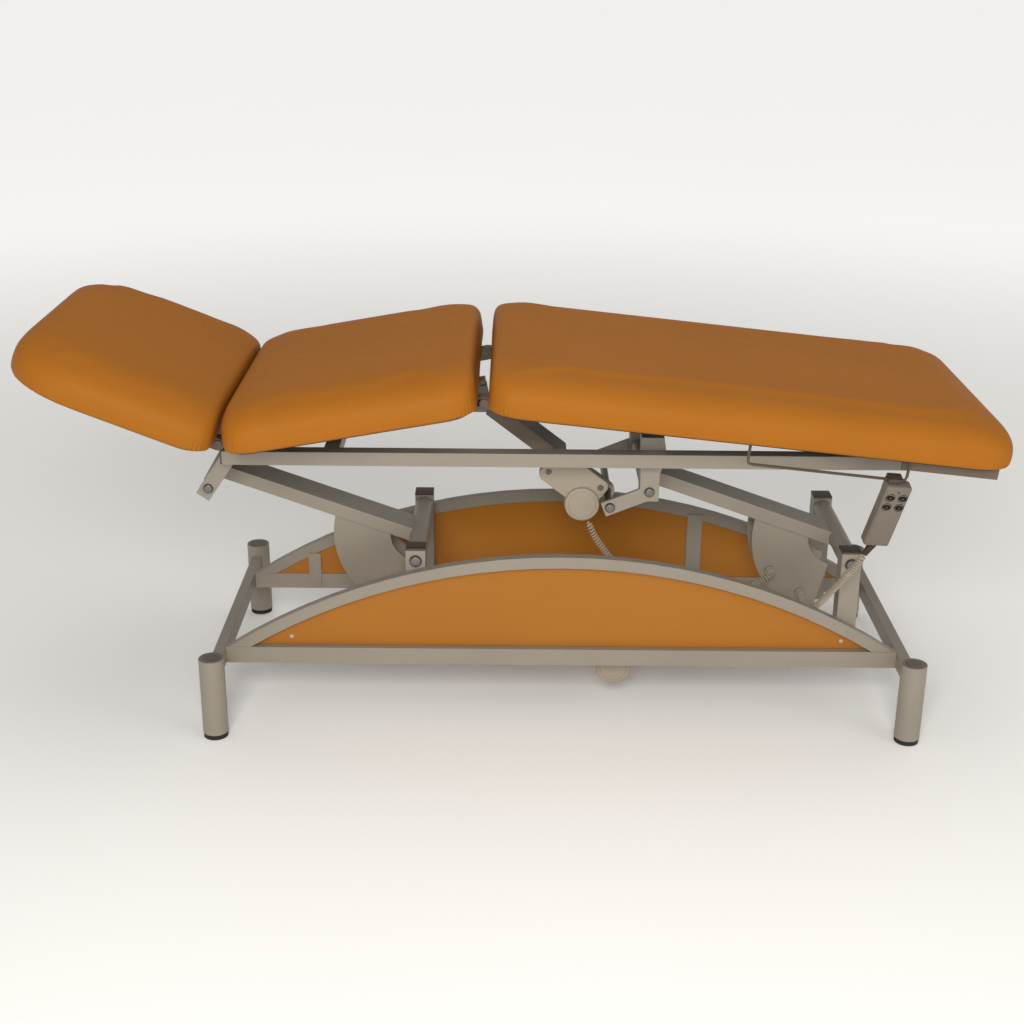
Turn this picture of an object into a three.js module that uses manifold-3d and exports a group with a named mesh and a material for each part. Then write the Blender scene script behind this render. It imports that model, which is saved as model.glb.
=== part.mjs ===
// A treatment couch with a three-section top on a height-adjustable frame. Units are millimetres, +Z is up,
// +X runs from the head end to the foot end and the near side of the couch is at -Y. The top stands in its
// drainage position, with the head section raised, and that is the rest position of every joint.
import * as THREE from "three";
import { mergeVertices } from "three/addons/utils/BufferGeometryUtils.js";
import Module from "manifold-3d";

const wasm = await Module();
wasm.setup();

// ---- Driving dimensions ----
const OVERALL_SHIFT_X = 100; // from the middle of the leg base to the middle of the overall length
const GAP = 0.3; // between pieces that touch

const LEG = { halfX: 702, halfY: 300, radius: 25.5, bore: 23, top: 173.5 };
const FOOT = { radius: 24.5, height: 9.7, plugRadius: 22.5, plugTop: 30 };
const BASE_RAIL = { bottom: 113, top: 149, outerY: 200, innerY: 180, wall: 2 };
const END_RAIL = { innerX: 692, outerX: 714 };
const ARCH = { centreZ: -888, outerRadius: 1243, innerRadius: 1219, halfX: 684, steps: 12 };
const PANEL = { innerY: 181.5, outerY: 184.5 };
const POST = { half: 20, innerY: 140, top: 359, wall: 3 };

const PIVOT = { leftX: -299, rightX: 586, z: 336, shaftRadius: 8, holeRadius: 8.4 };
const ARM = { length: 440, tilt: 19.5, halfWidth: 40, above: 9, below: 19, wall: 3 };
const ARM_TUBE = { lowerRadius: 20, upperRadius: 17, lowerHalfY: 139.7, upperHalfY: 121.7 };
const GUARD = { inner: 62, outer: 182, from: 160.5, to: 256, innerY: 31, outerY: 35 };
const CRANK = { radius: 125, angle: 257 };

const TOP_RAIL = { innerY: 163, outerY: 195, bottom: 545, top: 573, left: -677, right: 750, wall: 2 };
const LUG = { innerY: 122, outerY: 162.7 };
const LEFT_LUG = { lean: 56, halfWidth: 15, below: 22 };
const RIGHT_LUG = { left: 152, right: 190.4, bottom: 463, padTop: 598 };
const DRAIN_PIN = { x: 93, z: 449 };
const DRAIN_Y = -55; // the drainage drive stands off the middle plane
const DRAIN_EYE = { along: 493.1, below: 26.7 };
const LIFT_PIN = { x: 165, z: 118, radius: 7 };

const HINGE_Z = 587; // height of the section hinges and of the foot glide above the floor
const MID_HINGE_X = -655;
const HEAD_HINGE_X = -682;
const MID = { length: 503, tilt: 10.2 };
const LONG = { tilt: 6, end: 1000 };
const HINGE_PLAY = 9; // length of the slot that lets the long section follow the middle one
const HEAD = { tilt: 21.3, end: 388 };
const SECTION_TUBE = { half: 12.5, innerY: 170, outerY: 195, holeRadius: 6.5, pinRadius: 6 };
const CUSHION = { halfY: 330, bottom: 13.4, top: 90, cornerRadius: 55, edge: 24, endGap: 2.5 };
const HEAD_CUSHION_SLANT = 13; // how far the two facing ends lean back, so that the head can be raised
const GAS = { anchorX: -500, anchorZ: 556, leverLength: 52, leverLean: 3.3 };

const CONTROL_BOX = { x: 492, z: 262, halfX: 40, halfZ: 34, halfY: 28 };
const CORD_GLANDS = [
  { x: 446, z: 262 },
  { x: 514, z: 212 },
];
const GLAND = { radius: 10, reach: 9 };
const HANDSET = { along: 797, width: 52, length: 150, depth: 27, below: 6.2, behind: 3.2 };
const HANDSET_TURN = { yaw: 6, pitch: 20, roll: 7 };
const BUTTON = { halfWidth: 7.4, halfHeight: 5.6, proud: 1.6, sunk: 2.6, columns: 12.5, rows: [-31, -54] };
const CORD_RADIUS = 7.5;

// ---- Derived places ----
const radians = THREE.MathUtils.degToRad;
const armReach = ARM.length * Math.cos(radians(ARM.tilt));
const armRise = ARM.length * Math.sin(radians(ARM.tilt));
const UPPER_PIVOT_Z = PIVOT.z + armRise;
const UPPER_LEFT_X = PIVOT.leftX - armReach;
const UPPER_RIGHT_X = PIVOT.rightX - armReach;
const MIDDLE_HINGE = {
  x: MID_HINGE_X + MID.length * Math.cos(radians(MID.tilt)),
  z: HINGE_Z + MID.length * Math.sin(radians(MID.tilt)),
};
const GLIDE_DISTANCE = (MID.length * Math.sin(radians(MID.tilt))) / Math.sin(radians(LONG.tilt));

// ---- Materials ----
const paint = new THREE.MeshStandardMaterial({ color: 0x9a9082, roughness: 0.45, metalness: 0.15 });
const steel = new THREE.MeshStandardMaterial({ color: 0x77736e, roughness: 0.35, metalness: 0.8 });
const darkSteel = new THREE.MeshStandardMaterial({ color: 0x3b3026, roughness: 0.5, metalness: 0.4 });
const panelBoard = new THREE.MeshStandardMaterial({ color: 0xb4782e, roughness: 0.55, metalness: 0 });
const vinyl = new THREE.MeshStandardMaterial({ color: 0x9a6430, roughness: 0.5, metalness: 0 });
const rubber = new THREE.MeshStandardMaterial({ color: 0x15120f, roughness: 0.8, metalness: 0 });
const casing = new THREE.MeshStandardMaterial({ color: 0xa39a86, roughness: 0.5, metalness: 0 });
const handsetShell = new THREE.MeshStandardMaterial({ color: 0x7d7466, roughness: 0.5, metalness: 0 });
const buttonCap = new THREE.MeshStandardMaterial({ color: 0x1a120c, roughness: 0.4, metalness: 0 });
const cordSheath = new THREE.MeshStandardMaterial({ color: 0xb3a695, roughness: 0.6, metalness: 0 });

// ---- Geometry helpers ----
function asSolid(geometry) {
  const bare = geometry.clone();
  bare.deleteAttribute("normal");
  bare.deleteAttribute("uv");
  const merged = mergeVertices(bare, 1e-4);
  return new wasm.Manifold(
    new wasm.Mesh({
      numProp: 3,
      vertProperties: new Float32Array(merged.attributes.position.array),
      triVerts: new Uint32Array(merged.index.array),
    }),
  );
}

function asGeometry(solid) {
  const mesh = solid.getMesh();
  const geometry = new THREE.BufferGeometry();
  geometry.setAttribute("position", new THREE.BufferAttribute(mesh.vertProperties, 3));
  geometry.setIndex(new THREE.BufferAttribute(mesh.triVerts, 1));
  geometry.computeVertexNormals();
  return geometry;
}

// One body: every geometry in `add` joined, then every geometry in `cut` taken away.
function shaped(add, cut = []) {
  let solid = asSolid(add[0]);
  for (const piece of add.slice(1)) solid = solid.add(asSolid(piece));
  for (const piece of cut) solid = solid.subtract(asSolid(piece));
  return asGeometry(solid);
}

function box(x0, x1, y0, y1, z0, z1) {
  const geometry = new THREE.BoxGeometry(x1 - x0, y1 - y0, z1 - z0);
  return geometry.translate((x0 + x1) / 2, (y0 + y1) / 2, (z0 + z1) / 2);
}

// A round bar along Y through (x, z).
function bar(radius, x, z, y0, y1, sides = 16) {
  const geometry = new THREE.CylinderGeometry(radius, radius, y1 - y0, sides);
  return geometry.translate(0, (y0 + y1) / 2, 0).translate(x, 0, z);
}

// A flat outline of the XZ plane made `y1 - y0` thick.
function plate(shape, y0, y1, arcSteps = 4) {
  const outline = shape instanceof THREE.Shape ? shape : polygon(shape);
  const options = { depth: y1 - y0, bevelEnabled: false, curveSegments: arcSteps };
  const geometry = new THREE.ExtrudeGeometry(outline, options);
  return geometry.rotateX(Math.PI / 2).translate(0, y1, 0);
}

function polygon(points) {
  return new THREE.Shape(points.map(([x, z]) => new THREE.Vector2(x, z)));
}

// A bar with two round ends, from (x0, z) to (x1, z) between the end centres.
function slotShape(x0, x1, z, half) {
  const shape = new THREE.Shape();
  shape.moveTo(x0, z - half);
  shape.lineTo(x1, z - half);
  shape.absarc(x1, z, half, -Math.PI / 2, Math.PI / 2);
  shape.lineTo(x0, z + half);
  shape.absarc(x0, z, half, Math.PI / 2, (3 * Math.PI) / 2);
  return shape;
}

function roundedRectangle(halfX, halfY, radius) {
  const shape = new THREE.Shape();
  shape.moveTo(-halfX + radius, -halfY);
  shape.absarc(halfX - radius, -halfY + radius, radius, -Math.PI / 2, 0);
  shape.absarc(halfX - radius, halfY - radius, radius, 0, Math.PI / 2);
  shape.absarc(-halfX + radius, halfY - radius, radius, Math.PI / 2, Math.PI);
  shape.absarc(-halfX + radius, -halfY + radius, radius, Math.PI, (3 * Math.PI) / 2);
  return shape;
}

// A shaft along Y with a domed head outside each of the two outer faces at y = ±faceY.
function headedShaft(shaftRadius, headRadius, x, z, faceY) {
  const headDepth = headRadius * 0.62;
  const end = faceY + 0.4;
  const dome = (side) => [
    new THREE.Vector2(shaftRadius, side * end),
    new THREE.Vector2(headRadius, side * end),
    new THREE.Vector2(headRadius * 0.78, side * (end + headDepth * 0.7)),
    new THREE.Vector2(0, side * (end + headDepth)),
  ];
  const profile = [...dome(-1).reverse(), ...dome(1)];
  return new THREE.LatheGeometry(profile, 16).translate(x, 0, z);
}

const NEAR = -1;
const FAR = 1;
const sideName = (side) => (side === NEAR ? "front" : "rear");

// The y interval between inner and outer on one side of the couch, lowest first.
function across(side, inner, outer) {
  return side === NEAR ? [-outer, -inner] : [inner, outer];
}

const couch = new THREE.Group();
couch.position.x = OVERALL_SHIFT_X;

function place(parent, name, geometry, material) {
  const mesh = new THREE.Mesh(geometry, material);
  mesh.name = name;
  parent.add(mesh);
  return mesh;
}

// ---- Base ----
function addLegs() {
  for (const [end, x] of [["left", -LEG.halfX], ["right", LEG.halfX]]) {
    for (const side of [NEAR, FAR]) {
      const y = side * LEG.halfY;
      const corner = `${sideName(side)}_${end}`;
      const upright = (radius, z0, z1) =>
        new THREE.CylinderGeometry(radius, radius, z1 - z0, 24)
          .rotateX(Math.PI / 2)
          .translate(x, y, (z0 + z1) / 2);
      const tube = shaped(
        [upright(LEG.radius, FOOT.height + GAP, LEG.top)],
        [upright(LEG.bore, 0, LEG.top - 6)],
      );
      place(couch, `leg_${corner}`, tube, paint);
      const foot = shaped([
        upright(FOOT.radius, 0, FOOT.height),
        upright(FOOT.plugRadius, FOOT.height - 1, FOOT.plugTop),
      ]);
      place(couch, `foot_${corner}`, foot, rubber);
    }
  }
}

function addEndRails() {
  const { bottom, top, wall } = BASE_RAIL;
  const reach = LEG.halfY;
  for (const [end, sign] of [["left", -1], ["right", 1]]) {
    const [x0, x1] = [sign * END_RAIL.innerX, sign * END_RAIL.outerX].sort((a, b) => a - b);
    const clear = (side) =>
      new THREE.CylinderGeometry(LEG.radius + GAP, LEG.radius + GAP, 80, 24)
        .rotateX(Math.PI / 2)
        .translate(sign * LEG.halfX, side * LEG.halfY, (bottom + top) / 2);
    const tube = shaped(
      [box(x0, x1, -reach, reach, bottom, top)],
      [box(x0 + wall, x1 - wall, -reach - 1, reach + 1, bottom + wall, top - wall), clear(NEAR), clear(FAR)],
    );
    place(couch, `end_rail_${end}`, tube, paint);
  }
}

// A side rail is welded to the two posts that carry the lift arms.
function addSideRails() {
  const { bottom, top, innerY, outerY, wall } = BASE_RAIL;
  const halfX = END_RAIL.innerX - GAP;
  for (const side of [NEAR, FAR]) {
    const add = [box(-halfX, halfX, ...across(side, innerY, outerY), bottom, top)];
    const inner = across(side, innerY + wall, outerY - wall);
    const cut = [box(-halfX - 1, halfX + 1, ...inner, bottom + wall, top - wall)];
    for (const x of [PIVOT.leftX, PIVOT.rightX]) {
      const post = across(side, POST.innerY, innerY - GAP);
      add.push(box(x - POST.half, x + POST.half, ...post, bottom, POST.top));
      add.push(box(x - POST.half, x + POST.half, ...across(side, innerY - 1, innerY + 1), bottom, top));
      const room = POST.half - POST.wall;
      const inside = across(side, POST.innerY + POST.wall, innerY - POST.wall);
      cut.push(box(x - room, x + room, ...inside, bottom - 1, POST.top - 8));
      cut.push(bar(PIVOT.holeRadius, x, PIVOT.z, ...across(side, POST.innerY - 2, innerY + 2)));
    }
    place(couch, `side_rail_${sideName(side)}`, shaped(add, cut), paint);
  }
}

function archHeight(radius, x) {
  return ARCH.centreZ + Math.sqrt(radius * radius - x * x);
}

function addArches() {
  const bottom = BASE_RAIL.top + GAP;
  const outerX = Math.min(ARCH.halfX, Math.sqrt(ARCH.outerRadius ** 2 - (bottom - ARCH.centreZ) ** 2));
  const innerX = Math.sqrt(ARCH.innerRadius ** 2 - (bottom - ARCH.centreZ) ** 2);
  const angleAt = (radius, x) => Math.acos(x / radius);
  for (const side of [NEAR, FAR]) {
    const arch = new THREE.Shape();
    arch.moveTo(outerX, bottom);
    const start = angleAt(ARCH.outerRadius, outerX);
    arch.absarc(0, ARCH.centreZ, ARCH.outerRadius, start, Math.PI - start, false);
    arch.lineTo(-outerX, bottom);
    const innerStart = angleAt(ARCH.innerRadius, innerX);
    arch.absarc(0, ARCH.centreZ, ARCH.innerRadius, Math.PI - innerStart, innerStart, true);
    const [y0, y1] = across(side, BASE_RAIL.innerY, BASE_RAIL.outerY);
    place(couch, `arch_${sideName(side)}`, plate(arch, y0, y1, ARCH.steps), paint);

    const edge = ARCH.innerRadius - 1;
    const panelX = Math.sqrt(edge ** 2 - (bottom - ARCH.centreZ) ** 2) - 2;
    const panel = new THREE.Shape();
    const panelStart = angleAt(edge, panelX);
    panel.moveTo(-panelX, bottom);
    panel.lineTo(panelX, bottom);
    panel.absarc(0, ARCH.centreZ, edge, panelStart, Math.PI - panelStart, false);
    const [p0, p1] = across(side, PANEL.innerY, PANEL.outerY);
    place(couch, `side_panel_${sideName(side)}`, plate(panel, p0, p1, ARCH.steps), panelBoard);
  }
}

// The cross member that holds the rear pin of the lift actuator.
function addLiftBracket() {
  const halfY = BASE_RAIL.innerY - GAP;
  const ear = (side) =>
    plate(slotShape(LIFT_PIN.x, LIFT_PIN.x + 40, LIFT_PIN.z, 14), ...across(side, 14, 19));
  const bracket = shaped(
    [
      box(190, 220, -halfY, halfY, BASE_RAIL.bottom, BASE_RAIL.bottom + 30),
      ear(NEAR),
      ear(FAR),
      bar(LIFT_PIN.radius, LIFT_PIN.x, LIFT_PIN.z, -24, 24),
    ],
    [box(193, 217, -halfY - 1, halfY + 1, BASE_RAIL.bottom + 3, BASE_RAIL.bottom + 27)],
  );
  place(couch, "lift_actuator_bracket", bracket, paint);
}

// ---- Lift arms ----
// A point `along` the arm from its lower pivot and `above` its pivot line.
function onArm(pivotX, along, above) {
  const tilt = radians(ARM.tilt);
  return [
    pivotX - along * Math.cos(tilt) + above * Math.sin(tilt),
    PIVOT.z + along * Math.sin(tilt) + above * Math.cos(tilt),
  ];
}

function armBar(pivotX, from, to, below, above) {
  return polygon([
    onArm(pivotX, to, -below),
    onArm(pivotX, from, -below),
    onArm(pivotX, from, above),
    onArm(pivotX, to, above),
  ]);
}

function addArm(end, pivotX, upperX) {
  const { halfWidth, above, below, wall, length } = ARM;
  const arm = shaped(
    [
      plate(armBar(pivotX, 8, length - 8, below, above), -halfWidth, halfWidth),
      bar(ARM_TUBE.lowerRadius, pivotX, PIVOT.z, -ARM_TUBE.lowerHalfY, ARM_TUBE.lowerHalfY, 20),
      bar(ARM_TUBE.upperRadius, upperX, UPPER_PIVOT_Z, -ARM_TUBE.upperHalfY, ARM_TUBE.upperHalfY, 20),
    ],
    [
      plate(armBar(pivotX, 26, length - 24, below + 5, above - wall), wall - halfWidth, halfWidth - wall),
      bar(PIVOT.holeRadius, pivotX, PIVOT.z, -200, 200),
      bar(PIVOT.holeRadius, upperX, UPPER_PIVOT_Z, -200, 200),
    ],
  );
  place(couch, `lift_arm_${end}`, arm, paint);
  const lowerAxle = headedShaft(PIVOT.shaftRadius, 13.5, pivotX, PIVOT.z, 180);
  place(couch, `lower_axle_${end}`, lowerAxle, steel);
  const upperAxle = headedShaft(PIVOT.shaftRadius, 11, upperX, UPPER_PIVOT_Z, LUG.outerY);
  place(couch, `upper_axle_${end}`, upperAxle, steel);
}

// A guard is a ring sector around the lower pivot that hangs from the arm and closes the space under it.
function guardShape(pivotX) {
  const shape = new THREE.Shape();
  shape.absarc(pivotX, PIVOT.z, GUARD.outer, radians(GUARD.from), radians(GUARD.to), false);
  shape.absarc(pivotX, PIVOT.z, GUARD.inner, radians(GUARD.to), radians(GUARD.from), true);
  return shape;
}

function addGuards(end, pivotX, carriesActuator) {
  const crankX = pivotX + CRANK.radius * Math.cos(radians(CRANK.angle));
  const crankZ = PIVOT.z + CRANK.radius * Math.sin(radians(CRANK.angle));
  for (const side of [NEAR, FAR]) {
    const add = [plate(guardShape(pivotX), ...across(side, GUARD.innerY, GUARD.outerY), 6)];
    if (carriesActuator) {
      add.push(bar(13, crankX, crankZ, ...across(side, 22, GUARD.innerY + 1)));
      add.push(bar(11, crankX, crankZ, ...across(side, GUARD.outerY - 1, GUARD.outerY + 6)));
    }
    if (!carriesActuator && side === NEAR) {
      for (const { x, z } of CORD_GLANDS) {
        add.push(bar(GLAND.radius, x, z, -GUARD.outerY - GLAND.reach, -GUARD.outerY + 1));
      }
    }
    place(couch, `arm_guard_${end}_${sideName(side)}`, shaped(add), paint);
  }
}

// The control box sits between the guards of the right arm.
function addControlBox() {
  const { x, z, halfX, halfZ, halfY } = CONTROL_BOX;
  const shell = plate(roundedRectangle(halfX, halfZ, 8), -halfY, halfY);
  place(couch, "control_box", shell.translate(x, 0, z), rubber);
}

// ---- Top frame ----
function addTopRails() {
  const { innerY, outerY, bottom, top, left, right, wall } = TOP_RAIL;
  for (const side of [NEAR, FAR]) {
    const tube = shaped(
      [box(left, right, ...across(side, innerY, outerY), bottom, top)],
      [box(left - 1, right - 6, ...across(side, innerY + wall, outerY - wall), bottom + wall, top - wall)],
    );
    place(couch, `top_rail_${sideName(side)}`, tube, paint);
  }
  const reach = innerY - GAP;
  const crossTube = (x0, x1, extra = []) =>
    shaped(
      [box(x0, x1, -reach, reach, bottom + 1, top - 1), ...extra],
      [box(x0 + 3, x1 - 3, -reach - 1, reach + 1, bottom + 4, top - 4)],
    );
  const gasEar = (side) =>
    plate(slotShape(GAS.anchorX, GAS.anchorX + 30, GAS.anchorZ, 9), ...across(side, 15, 19));
  const gasPin = bar(4, GAS.anchorX, GAS.anchorZ, -22, 22, 16);
  place(couch, "top_cross_tube_left", crossTube(-478, -448, [gasEar(NEAR), gasEar(FAR), gasPin]), paint);
  place(couch, "top_cross_tube_right", crossTube(716, 746), paint);
}

// A left lug slants down from the end of its rail to the upper pivot of the left arm.
function addLeftLugs() {
  const lean = radians(LEFT_LUG.lean);
  const [ux, uz] = [Math.cos(lean), Math.sin(lean)];
  const top = TOP_RAIL.top - GAP;
  const at = (along, aside) => [
    UPPER_LEFT_X + along * ux - aside * uz,
    UPPER_PIVOT_Z + along * uz + aside * ux,
  ];
  const alongAtTop = (aside) => (top - UPPER_PIVOT_Z - aside * ux) / uz;
  const half = LEFT_LUG.halfWidth;
  const outline = [
    at(-LEFT_LUG.below, half),
    at(-LEFT_LUG.below, -half),
    at(alongAtTop(-half), -half),
    at(alongAtTop(half), half),
  ];
  for (const side of [NEAR, FAR]) {
    const lug = shaped(
      [plate(outline, ...across(side, LUG.innerY, LUG.outerY))],
      [bar(PIVOT.holeRadius + 0.2, UPPER_LEFT_X, UPPER_PIVOT_Z, ...across(side, 100, 180))],
    );
    place(couch, `pivot_lug_left_${sideName(side)}`, lug, paint);
  }
}

// A right lug carries the right arm, a rest for the flat top, and the arm of the drainage actuator's pin.
function addRightLugs() {
  const { left, right, bottom, padTop } = RIGHT_LUG;
  const outline = [
    [left, bottom],
    [right, bottom],
    [right, 520],
    [203, 560],
    [197, padTop],
    [left, padTop],
  ];
  const towards = new THREE.Vector2(left + 12 - DRAIN_PIN.x, 478 - DRAIN_PIN.z).normalize();
  const across2d = new THREE.Vector2(-towards.y, towards.x).multiplyScalar(15);
  const end = new THREE.Vector2(DRAIN_PIN.x, DRAIN_PIN.z).addScaledVector(towards, -14);
  const root = new THREE.Vector2(left + 12, 478);
  const bracket = [
    [end.x - across2d.x, end.y - across2d.y],
    [root.x - across2d.x, root.y - across2d.y],
    [root.x + across2d.x, root.y + across2d.y],
    [end.x + across2d.x, end.y + across2d.y],
  ];
  for (const side of [NEAR, FAR]) {
    const lug = shaped(
      [
        plate(outline, ...across(side, LUG.innerY, LUG.outerY)),
        plate(bracket, ...across(side, LUG.outerY - 8, LUG.outerY)),
      ],
      [
        bar(PIVOT.holeRadius, UPPER_RIGHT_X, UPPER_PIVOT_Z, ...across(side, 100, 180)),
        bar(PIVOT.holeRadius, DRAIN_PIN.x, DRAIN_PIN.z, ...across(side, 100, 180)),
      ],
    );
    place(couch, `pivot_lug_right_${sideName(side)}`, lug, paint);
  }
  place(
    couch,
    "drainage_actuator_pin",
    headedShaft(PIVOT.shaftRadius, 11, DRAIN_PIN.x, DRAIN_PIN.z, LUG.outerY),
    steel,
  );
}

// An end plate stands on the rail and carries the hinge pins of the head section and of the middle section.
function addHingePlates() {
  const { half, outerY, pinRadius } = SECTION_TUBE;
  for (const side of [NEAR, FAR]) {
    const foot = TOP_RAIL.top + GAP;
    const add = [
      plate(slotShape(HEAD_HINGE_X, MID_HINGE_X, HINGE_Z, 12), ...across(side, 164, 169.5)),
      box(-674, -640, ...across(side, 164, 169.5), foot, HINGE_Z),
    ];
    for (const x of [HEAD_HINGE_X, MID_HINGE_X]) {
      add.push(bar(pinRadius, x, HINGE_Z, ...across(side, 165, outerY + 2)));
      add.push(bar(half - 3, x, HINGE_Z, ...across(side, outerY + 0.5, outerY + 4.5)));
    }
    place(couch, `hinge_plate_${sideName(side)}`, shaped(add), darkSteel);
  }
}

// ---- Linear drives ----
// A frame whose +X runs from the rear pin of a drive towards the eye of its rod.
function driveFrame(from, to, y = 0) {
  const group = new THREE.Group();
  group.position.set(from.x, y, from.z);
  group.rotation.y = -Math.atan2(to.z - from.z, to.x - from.x);
  couch.add(group);
  return group;
}

function alongX(radius, x0, x1, sides = 16) {
  const geometry = new THREE.CylinderGeometry(radius, radius, x1 - x0, sides);
  return geometry.rotateZ(Math.PI / 2).translate((x0 + x1) / 2, 0, 0);
}

// An eye at the end of a rod: a round boss along Y with a neck.
function rodWithEye(radius, from, eyeAt, eyeRadius, eyeHalfY) {
  return shaped([
    alongX(radius, from, eyeAt - eyeRadius + 4),
    bar(eyeRadius, eyeAt, 0, -eyeHalfY, eyeHalfY),
  ]);
}

// Both drives run towards -X, so that the +Z side of their frames points down.
function addLiftActuator() {
  const eye = {
    x: PIVOT.leftX + CRANK.radius * Math.cos(radians(CRANK.angle)),
    z: PIVOT.z + CRANK.radius * Math.sin(radians(CRANK.angle)),
  };
  const length = Math.hypot(eye.x - LIFT_PIN.x, eye.z - LIFT_PIN.z);
  const frame = driveFrame(LIFT_PIN, eye);
  const motor = { along: 45, aside: 45, radius: 36, reach: 148 };
  const housing = shaped(
    [
      plate(slotShape(0, 54, 0, LIFT_PIN.radius + 7), -12, 12),
      plate(slotShape(48, 100, 0, 28), -20, 26),
      box(motor.along - 26, motor.along + 26, -20, 24, 0, motor.aside),
      bar(motor.radius, motor.along, motor.aside, -motor.reach, 24, 28),
      alongX(23, 94, 350, 20),
    ],
    [bar(LIFT_PIN.radius + 0.5, 0, 0, -20, 20), alongX(14, 120, 351)],
  );
  place(frame, "lift_actuator", housing, casing);
  place(frame, "lift_actuator_rod", rodWithEye(12, 190, length, 17, 20), steel);
}

// The drainage drive has a flat outer sleeve that the rod carries over the fixed guide tube. Its gearbox and
// its motor stand in front of the sleeve.
function addDrainageActuator() {
  const tilt = radians(MID.tilt);
  const eye = {
    x: MID_HINGE_X + DRAIN_EYE.along * Math.cos(tilt) + DRAIN_EYE.below * Math.sin(tilt),
    z: HINGE_Z + DRAIN_EYE.along * Math.sin(tilt) - DRAIN_EYE.below * Math.cos(tilt),
  };
  const length = Math.hypot(eye.x - DRAIN_PIN.x, eye.z - DRAIN_PIN.z);
  const frame = driveFrame(DRAIN_PIN, eye, DRAIN_Y);
  const motor = { along: 40, aside: 38, radius: 35.5, bodyRadius: 30 };
  const gearbox = new THREE.Shape(roundedRectangle(66, 38, 14).getPoints(3));
  const housing = shaped(
    [
      plate(slotShape(0, 44, 0, 15), -12, 12),
      box(20, 60, -60, 12, -14, 30),
      plate(gearbox, -71, -48).translate(84, 0, 10),
      bar(motor.radius, motor.along, motor.aside, -75, -47, 28),
      bar(motor.bodyRadius, motor.along, motor.aside, -50, 25, 24),
      alongX(11, 40, 235),
    ],
    [bar(PIVOT.shaftRadius + 0.5, 0, 0, -20, 20)],
  );
  place(frame, "drainage_actuator", housing, casing);
  const sleeve = shaped(
    [box(120, 305, -45, 45, -15, 15), alongX(8, 300, length - 8, 12), bar(12, length, 0, -9, 9)],
    [box(119, 300, -42, 42, -12, 12)],
  );
  place(frame, "drainage_actuator_rod", sleeve, darkSteel);
}

function addGasSpring() {
  const lean = radians(HEAD.tilt - GAS.leverLean);
  const pin = {
    x: HEAD_HINGE_X - GAS.leverLength * Math.sin(lean),
    z: HINGE_Z - GAS.leverLength * Math.cos(lean),
  };
  const anchor = { x: GAS.anchorX, z: GAS.anchorZ };
  const length = Math.hypot(pin.x - anchor.x, pin.z - anchor.z);
  const frame = driveFrame(anchor, pin);
  const cylinder = shaped(
    [bar(9, 0, 0, -12, 12), alongX(13, 5, 128)],
    [bar(4.4, 0, 0, -20, 20, 16), alongX(7, 14, 129)],
  );
  place(frame, "gas_spring_cylinder", cylinder, rubber);
  place(frame, "gas_spring_rod", rodWithEye(5, 60, length, 8, 6), steel);
}

// ---- Sections of the top ----
// A section frame has +X along the section, and its hinge line at the origin.
function sectionFrame(x, z, tilt) {
  const group = new THREE.Group();
  group.position.set(x, 0, z);
  group.rotation.y = radians(-tilt);
  couch.add(group);
  return group;
}

function sideTube(side, x0, x1) {
  const { half, innerY, outerY } = SECTION_TUBE;
  return plate(slotShape(x0, x1, 0, half), ...across(side, innerY, outerY));
}

function crossTube(x0, x1, halfY = SECTION_TUBE.innerY + 1) {
  return box(x0, x1, -halfY, halfY, -11, 11);
}

// A cushion is a plain block with round corners and a chamfered upper edge. `lean` pulls the upper edge of
// the ends back: lean[0] at x0 and lean[1] at x1.
function cushionBlock(x0, x1, lean) {
  const { halfY, bottom, top, cornerRadius, edge } = CUSHION;
  const centre = (x0 + x1) / 2;
  const halfX = (x1 - x0) / 2;
  const outline = roundedRectangle(halfX, halfY, cornerRadius);
  const upwards = { depth: top - bottom, bevelEnabled: false, curveSegments: 6 };
  const block = new THREE.ExtrudeGeometry(outline, upwards);
  block.translate(centre, 0, bottom);
  const beyond = 100;
  const slope = [
    [bottom, 0],
    [top - edge, 3],
    [top + 0.01, edge],
  ];
  const section = new THREE.Shape();
  const pull = (z, base, amount) => base + (amount * (z - bottom)) / (top - bottom);
  section.moveTo(x0, bottom - 1);
  section.lineTo(x1, bottom - 1);
  for (const [z, base] of slope) section.lineTo(x1 - pull(z, base, lean[1]), z);
  for (const [z, base] of [...slope].reverse()) section.lineTo(x0 + pull(z, base, lean[0]), z);
  const lengthwise = plate(section, -halfY - 10, halfY + 10);
  const crossSection = new THREE.Shape();
  crossSection.moveTo(-halfY, bottom - 1);
  crossSection.lineTo(halfY, bottom - 1);
  for (const [z, base] of slope) crossSection.lineTo(halfY - base, z);
  for (const [z, base] of [...slope].reverse()) crossSection.lineTo(-halfY + base, z);
  const lengthways = { depth: x1 - x0 + 2 * beyond, bevelEnabled: false };
  const widthwise = new THREE.ExtrudeGeometry(crossSection, lengthways);
  widthwise.rotateX(Math.PI / 2).rotateZ(Math.PI / 2).translate(x0 - beyond, 0, 0);
  return asGeometry(asSolid(block).intersect(asSolid(lengthwise)).intersect(asSolid(widthwise)));
}

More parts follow.
